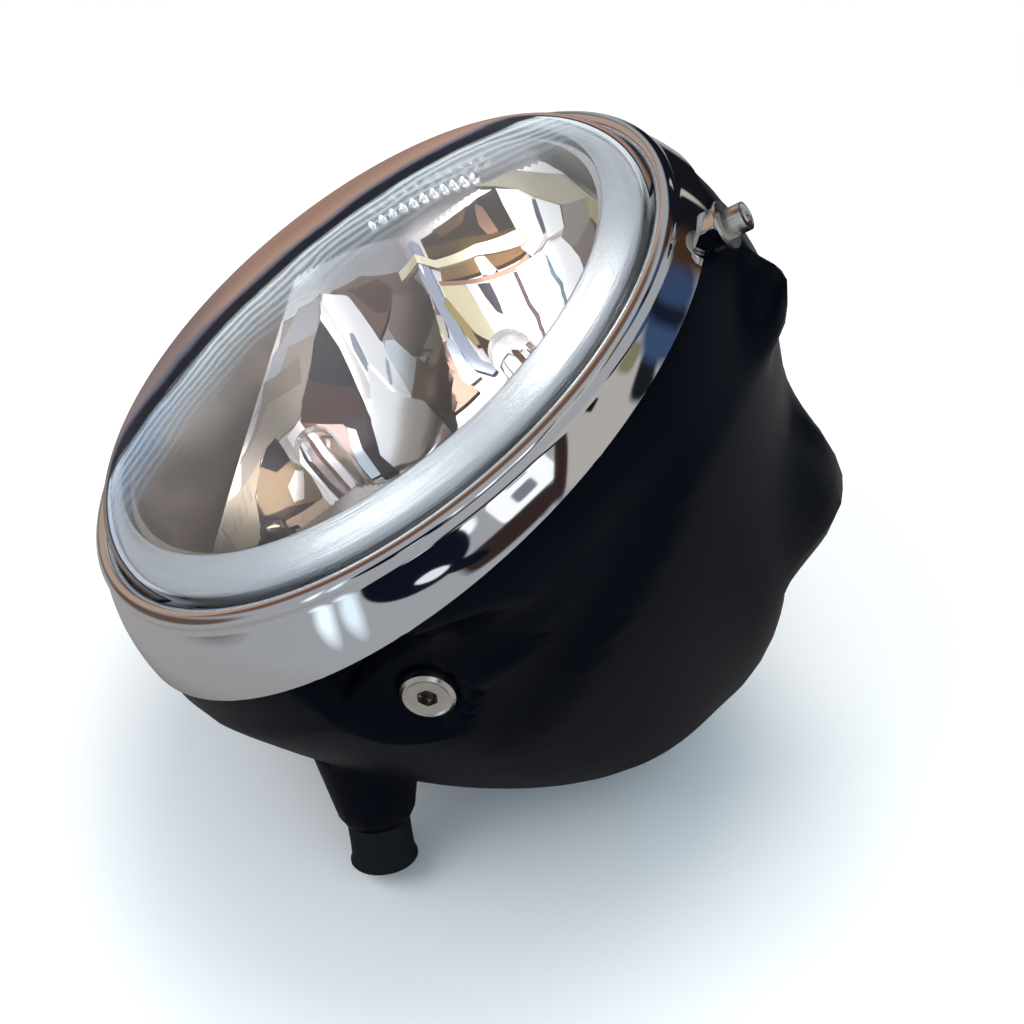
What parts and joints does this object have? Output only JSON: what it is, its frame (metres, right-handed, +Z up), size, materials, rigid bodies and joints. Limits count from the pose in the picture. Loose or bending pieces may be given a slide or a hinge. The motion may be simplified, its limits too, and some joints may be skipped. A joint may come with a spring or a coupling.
{
  "type": "motorcycle headlight",
  "caption": "Round motorcycle headlight: clear domed lens over a faceted two-chamber reflector, chrome trim ring and a moulded black bucket with side mounting screws and a sleeved cable spout.",
  "frame": {"origin": "on the common axis of the two side screws, midway between the pads", "axes": "the lens looks toward -Y, +Z is up as fitted, the side screws lie along X"},
  "size_m": [0.1988, 0.1723, 0.2085],
  "materials": {
    "chrome": "polished",
    "lens_glass": "clear",
    "bulb_glass": "clear",
    "seal_rubber": "matte",
    "satin_ring": "satin",
    "mirror": "polished",
    "bulb_metal": "satin",
    "spring_steel": "satin",
    "plug_plastic": "matte",
    "housing_plastic": "satin",
    "insert_brass": "satin",
    "screw_steel": "satin",
    "nut_plastic": "matte"
  },
  "bodies": {
    "root": {"trim_ring": "chrome", "lens": "lens_glass", "lens_seal": "seal_rubber", "bezel": "satin_ring", "reflector": "mirror", "upper_bulb_glass": "bulb_glass", "upper_bulb_base": "bulb_metal", "lower_bulb_glass": "bulb_glass", "lower_bulb_base": "bulb_metal", "bulb_clips": "spring_steel", "bulb_plugs": "plug_plastic", "position_bulb": "bulb_glass", "position_holder": "plug_plastic", "ring_clips": "spring_steel", "mouth_seal": "seal_rubber", "housing": "housing_plastic", "side_inserts": "insert_brass", "side_screws": "screw_steel", "ring_screw": "screw_steel", "ring_washer": "screw_steel", "ring_nut": "screw_steel", "spout_sleeve": "seal_rubber", "adjuster_screw": "screw_steel", "adjuster_nut": "nut_plastic", "reflector_frame": "spring_steel", "pivot_studs": "spring_steel"}
  },
  "joints": []
}
